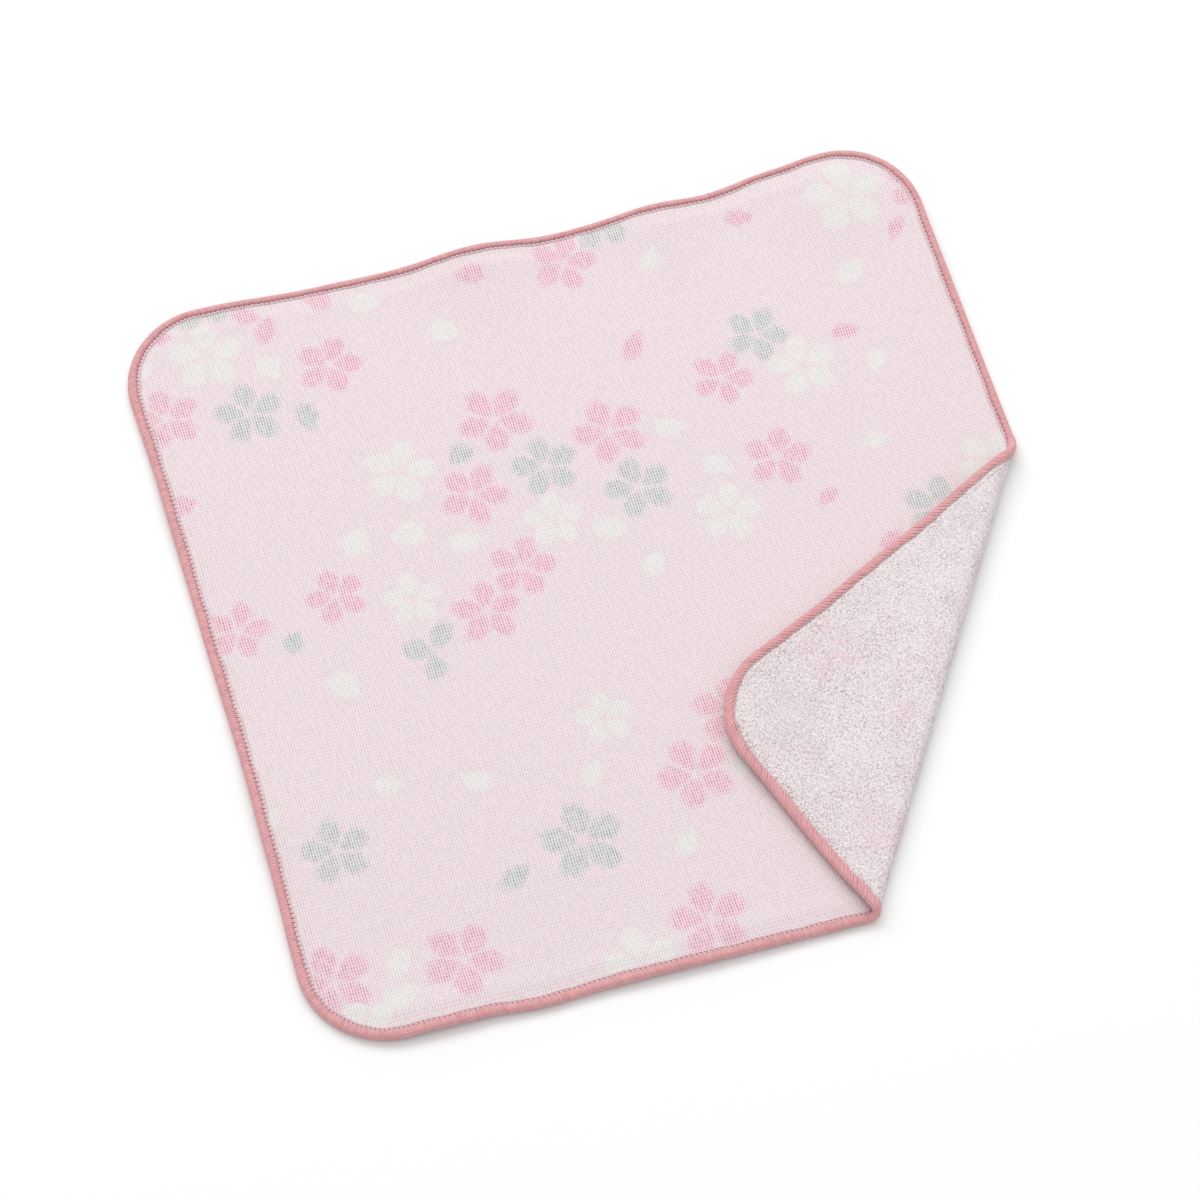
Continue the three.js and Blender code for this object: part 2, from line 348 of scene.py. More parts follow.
def middle(u, v):
    """The middle of the cloth's thickness, as rows of x, y and z."""
    past = past_fold(u, v)
    roll = roll_radius(u, v)
    beyond = past - math.pi * roll
    angle = np.clip(past / roll, 0, math.pi)
    settled = np.exp(-((beyond / SETTLE_LENGTH) ** 2))
    on_flap = lerp(FLAP_SPACING, 2 * roll, settled) + TIP_LIFT * (beyond / TIP_REACH) ** 2
    flat, bending = past <= 0, (past > 0) & (beyond < 0)
    reach = np.select([flat, bending], [FOLD_AT + past, FOLD_AT + roll * np.sin(angle)],
                      FOLD_AT - beyond * (1 - FLAP_DRAWN_IN))
    height = np.select([flat, bending], [ripple_lift(u, v), roll * (1 - np.cos(angle))], on_flap)
    slide = u * ALONG[0] + v * ALONG[1] + np.where(beyond > 0, beyond * FLAP_SKEW, 0)
    rest = HALF_THICK + RIM_RISE * (1 - smoothstep(inset(u, v), SQUEEZED_TO, LEVEL_FROM))
    x = reach * ACROSS[0] + slide * ALONG[0]
    y = reach * ACROSS[1] + slide * ALONG[1]
    return np.stack([x, y, rest + height], axis=-1)


def lay(u, v, off):
    """A point that stands off the cloth's middle, towards the gauze where off is positive, in metres."""
    nudge = 0.05
    along_u = middle(u + nudge, v) - middle(u - nudge, v)
    along_v = middle(u, v + nudge) - middle(u, v - nudge)
    front = np.cross(along_u, along_v)
    front /= np.linalg.norm(front, axis=-1, keepdims=True)
    return (middle(u, v) + front * np.asarray(off)[..., None]) * MM


def half_thickness(depth):
    return lerp(RIM_HALF_THICK, HALF_THICK, smoothstep(depth, SQUEEZED_TO, FULL_FROM))


tip = lay(np.array([117.0]), np.array([-117.0]), np.array([0.0]))[0] / MM
print("the turned corner's tip lies at", tip.round(1), "mm")

# %% [markdown]
# ## The print
# Scattered blossoms with five notched petals, and loose petals between them, in pink, white and
# grey. No image is used for them, and a node group for each of the 88 motifs would be slow. So each
# face of the cloth belongs to its nearest motif and carries that motif's own coordinates, and the
# material then draws one petal shape for all of them.

# %% The blossoms and petals, charted on the flat cloth
Motif = namedtuple("Motif", "ink petals u v size breadth turn")
# Blossoms: (middle u, middle v, radius to the petal tips, angle of one petal in degrees)
BLOSSOMS = {
    "pink": [
        (-65.5, 95.2, 10.2, 64), (-117, 89.8, 10.4, 22), (-23, 63.4, 11.3, 45), (-36, 40, 10.5, 53),
        (-114.3, 13.9, 9.4, 68), (-84, 17.4, 9.2, 29), (-29, 12, 10.2, 68), (-43, 0.4, 10.2, 13),
        (12, 111.3, 10.2, 66), (125, 109, 10, 68), (46.7, 58.8, 9.4, 56), (9, 50, 11.2, 31),
        (54.4, 27.6, 10.2, 70), (-116.8, -102.8, 11.6, 26), (-80, -105.8, 11.7, 51),
        (-9.8, -112.9, 11.6, 19), (0, -67.2, 11.2, 33), (15.5, -50.5, 11, 3), (110, -81, 10, 20),
        (56, -107, 9.5, 40),
    ],
    "white": [
        (-100.2, 108, 11.4, 10), (-55.2, 53.4, 11, 66), (-63, 10.3, 9, 15), (-15.8, 25.2, 9.2, 12),
        (101.7, 110.4, 12.6, 17), (71.6, 56.2, 10.6, 18), (34.8, 13.4, 10, 1), (115, 9.5, 9.8, 50),
        (-20, -42.6, 8.7, 17), (-32, -121.3, 11.6, 19), (-112, -119, 10, 30), (88, -96, 10, 12),
    ],
    "grey": [
        (-92.8, 85, 10.5, 17), (-98, 127.6, 10.5, 22), (-12.9, 43.4, 10.3, 21), (26.5, 122.6, 10.4, 18),
        (61.3, 70.7, 9.6, 56), (11.8, 28.8, 10.6, 27), (-105.4, -63.2, 10.3, 21), (-37, -79, 12.3, 19),
        (95, -1.8, 10.5, 70), (101, -106, 11, 30), (119, -23, 9.5, 5),
    ],
}
# Loose petals: (middle u, middle v, length, width, angle that its notched end points in degrees)
LOOSE_PETALS = {
    "pink": [
        (-85.5, 118.8, 9, 6, 155), (-80.6, 112.2, 9.6, 6, 245), (-112, 118.4, 7.5, 6, 160),
        (-63, 118.6, 9, 6.5, -30), (-16.6, 114, 9, 6.5, -10), (-119.5, 59.3, 7.5, 6.5, 180),
        (68.6, 112.2, 8.6, 6, 165), (113.2, 95, 8.8, 4.6, 55), (24.2, 76.7, 10.6, 6, 235),
        (87.4, 64.5, 9, 5.4, 180), (64.7, 10.6, 7.6, 4.8, 35), (78, -9, 8.5, 6, 20),
        (80, -77, 8, 6, 100),
    ],
    "white": [
        (-83, 99, 9.6, 6.8, 120), (-49.4, 113.8, 10.2, 6.5, 170), (-29.2, 97.8, 9.2, 8, 140),
        (38, 105, 9, 5.5, 235), (95, 84.3, 9.8, 7, 25), (93, 51.7, 9.8, 5.4, 60),
        (83.9, 25.5, 7.4, 5.2, 0), (26.7, 46.5, 9.4, 6, 160), (36.2, 29.9, 9, 6.8, 145),
        (-74, 33.4, 10.4, 8.4, 230),
        (-58, 32.2, 10.8, 8.4, 0), (-42.3, 25, 10.8, 6.8, 180), (-0.3, 17.8, 9.6, 8, 170),
        (8.6, 2.5, 9, 6.4, 235), (-89.3, -12, 10.4, 8, 130), (-85.6, -46.8, 8.6, 6.8, 180),
        (-60.9, -52.3, 9.8, 7, -30), (-119.8, -48.5, 7, 3.6, 70), (-28.4, -59, 9, 6, 230),
        (-8.8, -87.4, 9.2, 6, 235), (-98, -101.8, 9.8, 7, 60), (-99.6, -112, 10.4, 7.5, 190),
        (13.4, -69, 7.5, 5, 60), (-119.6, 108, 6, 4, 60),
    ],
    "grey": [
        (-76.2, 79.4, 10.8, 6.4, 90), (-35.9, 54.4, 8.4, 6.6, 30), (-99.8, 5.9, 8, 6, 235),
        (-58.9, -85, 10.2, 6.6, 210), (-65.8, -6.5, 9.2, 6.8, 150), (-58.2, -3.6, 9.2, 6.8, 50),
        (-62.3, -13.4, 8.2, 6.8, 268), (97, -42, 8.5, 6, 30),
    ],
}
PETAL_MIDDLE = 0.575
PETAL_HALF_LENGTH = 0.43
PETAL_HALF_WIDTH = 0.32


def motifs():
    made = []
    for ink, rows in BLOSSOMS.items():
        made += [Motif(ink, 5, u, v, size, 1, math.radians(turn)) for u, v, size, turn in rows]
    for ink, rows in LOOSE_PETALS.items():
        for u, v, length, width, degrees in rows:
            size, turn = length / (2 * PETAL_HALF_LENGTH), math.radians(degrees)
            breadth = width / (2 * PETAL_HALF_WIDTH * size)
            back = PETAL_MIDDLE * size
            heart_u, heart_v = u - back * math.cos(turn), v - back * math.sin(turn)
            made.append(Motif(ink, 1, heart_u, heart_v, size, breadth, turn))
    return made


MOTIFS = motifs()
INKS = ["pink", "white", "grey"]
print(len(MOTIFS), "motifs")


# %% One petal, as a number that falls below 1 inside it
def in_motif(motif, u, v):
    """(u, v) in the motif's own coordinates, where a petal points along x and its tip is at 1."""
    x, y = (u - motif.u) / motif.size, (v - motif.v) / motif.size
    c, s = math.cos(motif.turn), math.sin(motif.turn)
    return x * c + y * s, (y * c - x * s) / motif.breadth


PETAL_TAPER = 0.42
NOTCH_HALF_WIDTH = 0.12
NOTCH_DEPTH = 0.09
SECTOR = math.radians(72)


def petal_measure(x, y, petals):
    angle = np.arctan2(y, x)
    if petals > 1:
        angle = angle - SECTOR * np.round(angle / SECTOR)
    radius = np.hypot(x, y)
    along, across = radius * np.cos(angle), np.abs(radius * np.sin(angle))
    lengthwise = (along - PETAL_MIDDLE) / PETAL_HALF_LENGTH
    width = PETAL_HALF_WIDTH * (1 + PETAL_TAPER * np.minimum(lengthwise, 0))
    notch = NOTCH_DEPTH * np.clip(1 - across / NOTCH_HALF_WIDTH, 0, 1) * (lengthwise > 0)
    return np.hypot(lengthwise, across / width) + notch


def nearest_motif(u, v):
    """The number of the motif whose petals lie nearest, and how near, for each place."""
    nearest, least = np.zeros(len(u), int), np.full(len(u), 1e9)
    for number, motif in enumerate(MOTIFS):
        x, y = in_motif(motif, u, v)
        measure = petal_measure(x, y, motif.petals)
        closer = measure < least
        nearest[closer] = number
        least = np.minimum(least, measure)
    return nearest, least


check_u, check_v = np.array([MOTIFS[0].u, 0.0]), np.array([MOTIFS[0].v, 0.0])
print("nearest motif and its measure:", nearest_motif(check_u, check_v))

# %% [markdown]
# ## The cloth's mesh
# The sheet starts as one square grid of small faces. Its corners are rounded by sliding the grid's
# points, the faces round the fold are cut finer so that the roll stays smooth, and the sheet is
# given its thickness while it is flat. Only then is each point laid in space. The gauze face has
# one material and the terry's ground cloth, on the other face, has another.

# %% A flat sheet with round corners
GRID_STEPS = 184
CLOTH_HALF = HALF_SIDE - RIM_INSET


def round_corners(x, y):
    """Slides the points of a square grid, from -1 to 1, on to nested squares with round corners."""
    level = np.maximum(np.abs(x), np.abs(y))
    half = level * CLOTH_HALF
    radius = (corner_radius(x, y) - RIM_INSET) * level ** 3
    px, py = np.abs(x) * CLOTH_HALF, np.abs(y) * CLOTH_HALF
    start = half - radius
    on_side = px >= py
    share = np.where(on_side, py - start, px - start) / np.maximum(radius, 1e-9)
    quarter = np.clip(share, 0, 1) * math.pi / 4
    angle = np.where(on_side, quarter, math.pi / 2 - quarter)
    turned = share > 0
    rx = np.where(turned, start + radius * np.cos(angle), px)
    ry = np.where(turned, start + radius * np.sin(angle), py)
    return rx * np.sign(x), ry * np.sign(y)


def points_of(bm):
    return np.array([vert.co[:] for vert in bm.verts])


def move_points(bm, points):
    for vert, point in zip(bm.verts, points.tolist()):
        vert.co = point


def flat_sheet():
    bm = bmesh.new()
    bmesh.ops.create_grid(bm, x_segments=GRID_STEPS, y_segments=GRID_STEPS, size=1)
    square = points_of(bm)
    u, v = wandered(*round_corners(square[:, 0], square[:, 1]))
    move_points(bm, np.stack([u, v, np.zeros(len(u))], axis=1))
    return bm


BEND_MARGIN = 2


def refine_bend(bm):
    """Cuts the faces that will go round the fold's roll into four."""
    bend = math.pi * ROLL_UPPER + BEND_MARGIN
    edges = []
    for edge in bm.edges:
        place = (edge.verts[0].co + edge.verts[1].co) / 2
        if -BEND_MARGIN < past_fold(place.x, place.y) < bend:
            edges.append(edge)
    bmesh.ops.subdivide_edges(bm, edges=edges, cuts=1, use_grid_fill=True)


sheet = flat_sheet()
refine_bend(sheet)
print("faces in the flat sheet:", len(sheet.faces))

# %% Thickness
GROUND_DEPTH = 0.45
UNIT_THICKNESS = 1.0


def thicken(bm):
    """Gives the flat sheet a back, one unit behind its front."""
    bmesh.ops.solidify(bm, geom=bm.faces[:], thickness=UNIT_THICKNESS)
    bmesh.ops.recalc_face_normals(bm, faces=bm.faces[:])


thicken(sheet)
depths = points_of(sheet)[:, 2]
print("closed:", all(edge.is_manifold for edge in sheet.edges))
print("front and back at", depths.max(), depths.min())


# %% Lay the sheet and mark its faces
def lay_sheet(bm):
    points = points_of(bm)
    u, v = points[:, 0], points[:, 1]
    is_front = points[:, 2] > depths.mean()
    half = half_thickness(inset(u, v))
    off = np.where(is_front, half, -np.minimum(half, GROUND_DEPTH))
    for face in bm.faces:
        face.material_index = 0 if face.calc_center_median().z > depths.mean() else 1
        face.smooth = True
    move_points(bm, lay(u, v, off))
    return u, v


def mesh_from(bm, name):
    mesh = bpy.data.meshes.new(name)
    bm.to_mesh(mesh)
    bm.free()
    return mesh


flat_u, flat_v = lay_sheet(sheet)
cloth_mesh = mesh_from(sheet, "towel_cloth")


# %% Carry the print's coordinates on the faces
def corner_values(mesh, name, values):
    layer = mesh.attributes.new(name, "FLOAT_VECTOR", "CORNER")
    layer.data.foreach_set("vector", np.ascontiguousarray(values, dtype=np.float32).ravel())


def mark_print(mesh, u, v):
    """Each face gets its nearest motif: its coordinates, its number of petals and its ink."""
    corner_point = np.empty(len(mesh.loops), int)
    mesh.loops.foreach_get("vertex_index", corner_point)
    sizes = np.array([polygon.loop_total for polygon in mesh.polygons])
    face_of_corner = np.repeat(np.arange(len(sizes)), sizes)
    cu, cv = u[corner_point], v[corner_point]
    face_u = np.bincount(face_of_corner, cu) / sizes
    face_v = np.bincount(face_of_corner, cv) / sizes
    owner = nearest_motif(face_u, face_v)[0][face_of_corner]
    blossom, ink = np.zeros((len(owner), 3)), np.zeros((len(owner), 3))
    for number, motif in enumerate(MOTIFS):
        own = owner == number
        x, y = in_motif(motif, cu[own], cv[own])
        blossom[own] = np.stack([x, y, np.full(len(x), motif.petals)], axis=1)
        ink[own, INKS.index(motif.ink)] = 1
    corner_values(mesh, "blossom", blossom)
    corner_values(mesh, "ink", ink)
    uv = mesh.uv_layers.new(name="flat_mm")
    uv.data.foreach_set("uv", np.stack([cu, cv], axis=1).astype(np.float32).ravel())


mark_print(cloth_mesh, flat_u, flat_v)
print("cloth triangles:", sum(polygon.loop_total - 2 for polygon in cloth_mesh.polygons))

# %% [markdown]
# ## The gauze
# Two sets of thin yarns cross in an open, plain weave. The upright yarns stand out most, and the
# gaps between them are painted darker: painted shade. The dye sits in the yarns, so a petal's rim is
# as ragged as the weave. Two sine waves in the flat coordinates give the yarns, and a little noise
# makes them uneven. Bright flecks on the upright yarns are a painted highlight.

# %% The petals, drawn from the coordinates that the faces carry
YARN_PITCH = 0.80
CROSS_PITCH = 1.14


def printed_shape(graph, softness, raggedness, noise):
    """1 where ink lies, 0 where it doesn't."""
    own = graph.add("Attribute", attribute_name="blossom")
    split = graph.add("SeparateXYZ", {0: own.outputs["Vector"]})
    x, y, petals = split.outputs
    angle = graph.sum("ARCTAN2", y, x)
    sector = graph.sum("ROUND", graph.sum("DIVIDE", angle, SECTOR))
    many = graph.sum("GREATER_THAN", petals, 2.0)
    whole = graph.sum("MULTIPLY", graph.sum("MULTIPLY", sector, many), SECTOR)
    folded = graph.sum("SUBTRACT", angle, whole)
    radius = graph.sum("SQRT", graph.sum("MULTIPLY_ADD", x, x, graph.sum("MULTIPLY", y, y)))
    along = graph.sum("MULTIPLY", radius, graph.sum("COSINE", folded))
    across = graph.sum("ABSOLUTE", graph.sum("MULTIPLY", radius, graph.sum("SINE", folded)))
    lengthwise = graph.sum("DIVIDE", graph.sum("SUBTRACT", along, PETAL_MIDDLE), PETAL_HALF_LENGTH)
    taper = graph.sum("MULTIPLY_ADD", graph.sum("MINIMUM", lengthwise, 0.0), PETAL_TAPER, 1.0)
    sideways = graph.sum("DIVIDE", across, graph.sum("MULTIPLY", taper, PETAL_HALF_WIDTH))
    length_2 = graph.sum("MULTIPLY", lengthwise, lengthwise)
    round_shape = graph.sum("SQRT", graph.sum("MULTIPLY_ADD", sideways, sideways, length_2))
    slope = graph.sum("SUBTRACT", 1.0, graph.sum("DIVIDE", across, NOTCH_HALF_WIDTH))
    notch = graph.sum("MULTIPLY", graph.sum("MAXIMUM", slope, 0.0), NOTCH_DEPTH)
    notch = graph.sum("MULTIPLY", notch, graph.sum("GREATER_THAN", lengthwise, 0.0))
    shift = graph.sum("MULTIPLY_ADD", graph.sum("SUBTRACT", noise, 0.5), raggedness, notch)
    measure = graph.sum("ADD", round_shape, shift)
    return graph.ramp(measure, 1.0 + softness, 1.0 - softness)


def flat_coordinates(graph):
    uv = graph.add("UVMap", uv_map="flat_mm")
    split = graph.add("SeparateXYZ", {0: uv.outputs[0]})
    return uv.outputs[0], split.outputs[0], split.outputs[1]


def noise_at(graph, place, scale, detail=2.0, stretch=(1.0, 1.0, 1.0)):
    moved = graph.add("Mapping", {"Vector": place, "Scale": stretch})
    node = graph.add("TexNoise", {"Vector": moved.outputs[0], "Scale": scale, "Detail": detail})
    return node.outputs[0]


def inked(graph, shape, ground, inks):
    """Puts the three inks on a ground colour, each where its own motifs are."""
    owner = graph.add("Attribute", attribute_name="ink").outputs["Vector"]
    which = graph.add("SeparateXYZ", {0: owner})
    colour = ground
    for channel, ink in enumerate(inks):
        amount = graph.sum("MULTIPLY", shape, which.outputs[channel])
        colour = graph.blend(amount, colour, ink)
    return colour


# %% The gauze's material
GAUZE_TOP = linear(231, 217, 219)
INKS_ON_TOP = [linear(239, 206, 215), linear(230, 226, 224), linear(218, 217, 216)]
# Darker colours for the gaps between the yarns: painted shade.
GAUZE_GAP_SHADE = linear(198, 180, 186)
INKS_SHADED_IN_GAPS = [linear(175, 129, 143), linear(196, 192, 192), linear(142, 143, 143)]
# A painted highlight for bright flecks on the upright yarns.
GAUZE_PAINTED_HIGHLIGHT = linear(247, 238, 241)
YARN_SWAY = 0.9
PRINT_SOFTNESS = 0.32
PRINT_RAGGEDNESS = 0.9


def yarns(graph, place, pitch, wobble):
    """A wave that is 1 on top of each yarn and 0 between two."""
    swayed = graph.sum("MULTIPLY_ADD", graph.sum("SUBTRACT", wobble, 0.5), YARN_SWAY, place)
    wave = graph.sum("COSINE", graph.sum("MULTIPLY", swayed, 2 * math.pi / pitch))
    return graph.sum("MULTIPLY_ADD", wave, 0.5, 0.5)


def gauze():
    graph = Graph("printed_gauze")
    place, across, along = flat_coordinates(graph)
    sway = noise_at(graph, place, 0.05)
    slub = noise_at(graph, place, 1.0, stretch=(1.25, 0.36, 1.0))
    grit = noise_at(graph, place, 1.3)
    broad = noise_at(graph, place, 0.22)
    uneven = graph.sum("MULTIPLY_ADD", broad, 0.5, graph.sum("MULTIPLY", grit, 0.5))
    upright = yarns(graph, across, YARN_PITCH, sway)
    level = yarns(graph, along, CROSS_PITCH, sway)
    between = graph.sum("MULTIPLY_ADD", level, -0.5, 1.0)
    # The gaps between the yarns take darker colours: painted shade.
    gap_shade = graph.sum("MULTIPLY", graph.sum("SUBTRACT", 1.0, upright), between)
    gap_shade = graph.sum("MULTIPLY", gap_shade, graph.sum("MULTIPLY_ADD", graph.ramp(slub, 0.7, 0.3), 0.55, 0.6))
    shape = printed_shape(graph, PRINT_SOFTNESS, PRINT_RAGGEDNESS, uneven)
    top = inked(graph, shape, GAUZE_TOP, INKS_ON_TOP)
    # The same print in darker colours for the gaps: painted shade.
    deep = inked(graph, shape, GAUZE_GAP_SHADE, INKS_SHADED_IN_GAPS)
    colour = graph.blend(gap_shade, top, deep)
    # Bright flecks on the upright yarns: a painted highlight.
    painted_highlight = graph.sum("MULTIPLY", graph.ramp(grit, 0.58, 0.7), graph.sum("MULTIPLY", upright, 0.5))
    colour = graph.blend(painted_highlight, colour, GAUZE_PAINTED_HIGHLIGHT)
    height = graph.sum("ADD", graph.sum("MULTIPLY", upright, 0.6), graph.sum("MULTIPLY", level, 0.4))
    bump = graph.add("Bump", {"Height": height, "Strength": 0.3, "Distance": 0.2 * MM})
    return graph.finish(Base_Color=colour, Roughness=0.85, Specular_IOR_Level=0.15,
                        Normal=bump.outputs[0], Sheen_Weight=0.15, Sheen_Roughness=0.5)


# %% [markdown]
# ## The terry's ground
# Behind the loops lies a plain, close cloth. Some of the print strikes through it, softly. Bumps on
# it stand for the finest curls, which are too many to model, and their hollows are painted darker:
# painted shade.


# %% The terry ground's material
GROUND_LIGHT = linear(230, 224, 224)
STRUCK_INKS = [linear(230, 214, 218), linear(233, 229, 228), linear(221, 219, 220)]
# A darker colour for the hollows between the curls: painted shade.
GROUND_HOLLOW_SHADE = linear(212, 194, 198)
STRUCK_SOFTNESS = 0.45
STRUCK_RAGGEDNESS = 0.6


def terry_ground():
    graph = Graph("terry_ground")
    place = flat_coordinates(graph)[0]
    curls = noise_at(graph, place, 1.4, detail=3.0)
    shape = printed_shape(graph, STRUCK_SOFTNESS, STRUCK_RAGGEDNESS, curls)
    light = inked(graph, shape, GROUND_LIGHT, STRUCK_INKS)
    # Darker where the curls' bump is low: painted shade in the hollows.
    colour = graph.blend(graph.ramp(curls, 0.62, 0.38), light, GROUND_HOLLOW_SHADE)
    bump = graph.add("Bump", {"Height": curls, "Strength": 0.4, "Distance": 0.3 * MM})
    return graph.finish(Base_Color=colour, Roughness=0.95, Specular_IOR_Level=0.1,
                        Normal=bump.outputs[0])


cloth = add_object("towel_cloth", cloth_mesh, gauze(), terry_ground())

# %% [markdown]
# ## Threads as bent bars
# Terry loops and overlock stitches are all short pieces of yarn. Modelling thousands one by one
# would take for ever, so one straight bar is made with operators, its points are bent in numpy to
# as many routes as are wanted, and all of them are joined in one mesh.


# %% A straight bar, and many bars joined
def straight_bar(sides, steps):
    """A bar along x from 0 to 1, one unit in radius, with its points and faces as arrays."""
    bm = bmesh.new()
    turned = Matrix.Rotation(math.pi / 2, 4, "Y")
    bmesh.ops.create_cone(bm, cap_ends=True, segments=sides, radius1=1, radius2=1, depth=1,
                          matrix=Matrix.Translation((0.5, 0, 0)) @ turned)
    long_edges = [e for e in bm.edges if abs(e.verts[0].co.x - e.verts[1].co.x) > 0.5]
    bmesh.ops.subdivide_edges(bm, edges=long_edges, cuts=steps - 1)
    bmesh.ops.recalc_face_normals(bm, faces=bm.faces[:])
    bm.verts.index_update()
    points = points_of(bm)
    faces = [[vert.index for vert in face.verts] for face in bm.faces]
    bm.free()
    return points, faces


def joined_mesh(name, copies, faces):
    """copies is (how many, points in one, 3); faces are one copy's."""
    many, count = copies.shape[:2]
    mesh = bpy.data.meshes.new(name)
    every = []
    for size in sorted({len(face) for face in faces}):
        same = np.array([face for face in faces if len(face) == size])
        shifted = same[None] + (np.arange(many) * count)[:, None, None]
        every += shifted.reshape(-1, size).tolist()
    mesh.from_pydata(copies.reshape(-1, 3).tolist(), [], every)
    mesh.polygons.foreach_set("use_smooth", np.ones(len(mesh.polygons), bool))
    return mesh


def point_values(mesh, name, values):
    layer = mesh.attributes.new(name, "FLOAT_VECTOR", "POINT")
    layer.data.foreach_set("vector", np.ascontiguousarray(values, dtype=np.float32).ravel())


def triangles(mesh):
    return sum(polygon.loop_total - 2 for polygon in mesh.polygons)


# %% [markdown]
# ## The terry pile
# Each loop is an arch of soft yarn that leans over and lies on its neighbours. On the turned corner
# they stand close and full, because they show. Underneath, the cloth's weight presses them flat,
# and fewer, wider ones do. Only some loops take up the print from the front, so it shows as a faint
# scatter of dots and not as a shape.

# %% Loops
Pile = namedtuple("Pile", "pitch length height radius lean sides steps")
TURNED_PILE = Pile(pitch=0.65, length=0.86, height=0.12, radius=0.215, lean=0.25, sides=3, steps=2)
UNDER_PILE = Pile(pitch=2.0, length=2.9, height=0.26, radius=0.29, lean=0.9, sides=3, steps=4)
PILE_FROM_DEPTH = 3.7
LOOP_ROOT = 0.16
UNEVEN = 0.3
SHAKE = 0.36
INK_SHARE = 0.45


def loop_roots(pile, keep, seed):
    """Roots on a shaken grid, so that they are random but leave no bald patches."""
    random = np.random.default_rng(seed)
    ticks = np.arange(-HALF_SIDE, HALF_SIDE, pile.pitch)
    u, v = (grid.ravel() for grid in np.meshgrid(ticks, ticks))
    u = u + random.uniform(-SHAKE, SHAKE, u.shape) * pile.pitch
    v = v + random.uniform(-SHAKE, SHAKE, v.shape) * pile.pitch
    kept = (inset(u, v) > PILE_FROM_DEPTH) & keep(u, v)
    return u[kept], v[kept], random


def bend_loops(pile, keep, seed):
    """The laid points of every loop, and the ink that strikes through at its root."""
    bar, faces = straight_bar(pile.sides, pile.steps)
    u, v, random = loop_roots(pile, keep, seed)
    many = len(u)
    turn = random.uniform(0, 2 * math.pi, many)[:, None]
    length = pile.length * (1 + random.uniform(-UNEVEN, UNEVEN, many))[:, None]
    height = pile.height * (1 + random.uniform(-UNEVEN, UNEVEN, many))[:, None]
    lean = pile.lean * random.uniform(-1, 1, many)[:, None]
    radius = pile.radius * (1 + random.uniform(-UNEVEN, UNEVEN, many) / 2)[:, None]
    share = bar[None, :, 0]
    arch = np.sin(math.pi * share)
    forward = -(length / 2 + radius * bar[None, :, 2]) * np.cos(math.pi * share)
    sideways = lean * arch + radius * bar[None, :, 1]
    rise = height * arch - LOOP_ROOT + radius * bar[None, :, 2] * np.abs(arch)
    lu = u[:, None] + forward * np.cos(turn) - sideways * np.sin(turn)
    lv = v[:, None] + forward * np.sin(turn) + sideways * np.cos(turn)
    laid = lay(lu, lv, -GROUND_DEPTH - rise)
    laid[..., 2] = np.maximum(laid[..., 2], 0)
    return laid, faces, u, v


def struck_through(u, v, each, seed):
    """The ink at each root, repeated for each of its points: only some loops take it up."""
    nearest, measure = nearest_motif(u, v)
    chance = INK_SHARE * smoothstep(measure, 1.7, 0.5)
    taken_up = np.random.default_rng(seed).uniform(0, 1, len(u)) < chance
    ink = np.zeros((len(u), 3))
    for channel, name in enumerate(INKS):
        of_ink = np.array([motif.ink == name for motif in MOTIFS])
        ink[:, channel] = taken_up & of_ink[nearest]
    return np.repeat(ink, each, axis=0)


# %% The pile's material
LOOP_SHADED = linear(190, 166, 171)
LOOP_LIT = linear(245, 244, 242)
LOOP_INKS = [linear(226, 184, 195), linear(240, 239, 238), linear(200, 202, 205)]
LOOP_INK_STRENGTH = 0.7


def pile_yarn():
    graph = Graph("pile_yarn")
    taken = graph.add("Attribute", attribute_name="ink").outputs["Vector"]
    ink = graph.add("SeparateXYZ", {0: taken})
    place = graph.add("TexCoord").outputs["Object"]
    patches = noise_at(graph, place, 110.0)
    curls = noise_at(graph, place, 1300.0)
    mottle = graph.sum("MULTIPLY_ADD", patches, 0.4, graph.sum("SUBTRACT", curls, 0.2))
    colour = graph.blend(graph.ramp(mottle, 0.44, 0.52), LOOP_SHADED, LOOP_LIT)
    for channel, shade in enumerate(LOOP_INKS):
        amount = graph.sum("MULTIPLY", ink.outputs[channel], LOOP_INK_STRENGTH)
        colour = graph.blend(amount, colour, shade)
    return graph.finish(Base_Color=colour, Roughness=0.95, Specular_IOR_Level=0.1,
                        Sheen_Weight=0.2, Sheen_Roughness=0.6, Subsurface_Weight=0.25,
                        Subsurface_Radius=(1.0, 0.9, 0.9), Subsurface_Scale=0.6 * MM)


PILE_YARN = pile_yarn()


# %% Pile on the turned corner and underneath
PILE_TURNS_AT = -1.0
PILE_PARTS_AT = -15


def on_turn(u, v):
    return past_fold(u, v) > PILE_TURNS_AT


def add_pile(name, pile, keep, seed):
    copies, faces, u, v = bend_loops(pile, keep, seed)
    mesh = joined_mesh(name, copies, faces)
    point_values(mesh, "ink", struck_through(u, v, copies.shape[1], seed))
    print(name, len(u), "loops,", triangles(mesh), "triangles")
    return add_object(name, mesh, PILE_YARN)


pile_pieces = [
    add_pile("pile_turned", TURNED_PILE, on_turn, 11),
    add_pile("pile_under_left", UNDER_PILE, lambda u, v: ~on_turn(u, v) & (u < PILE_PARTS_AT), 12),
    add_pile("pile_under_right", UNDER_PILE, lambda u, v: ~on_turn(u, v) & (u >= PILE_PARTS_AT), 13),
]

# %% [markdown]
# ## The edging
# A thick, fluffy thread is wound over the cloth's raw edge: it goes out on the terry side at a
# slant, round the rim, and back on the front to a row of needle holes, where a thin thread holds it.
# The band is narrower along two sides, and wavers a little, as the hand that guided it did.
# The body is a grid that is rolled up into a channel and laid along the outline. The windings and
# the thin thread are bent bars on top of it.

# %% A route round the flat outline
STITCH = 1.48


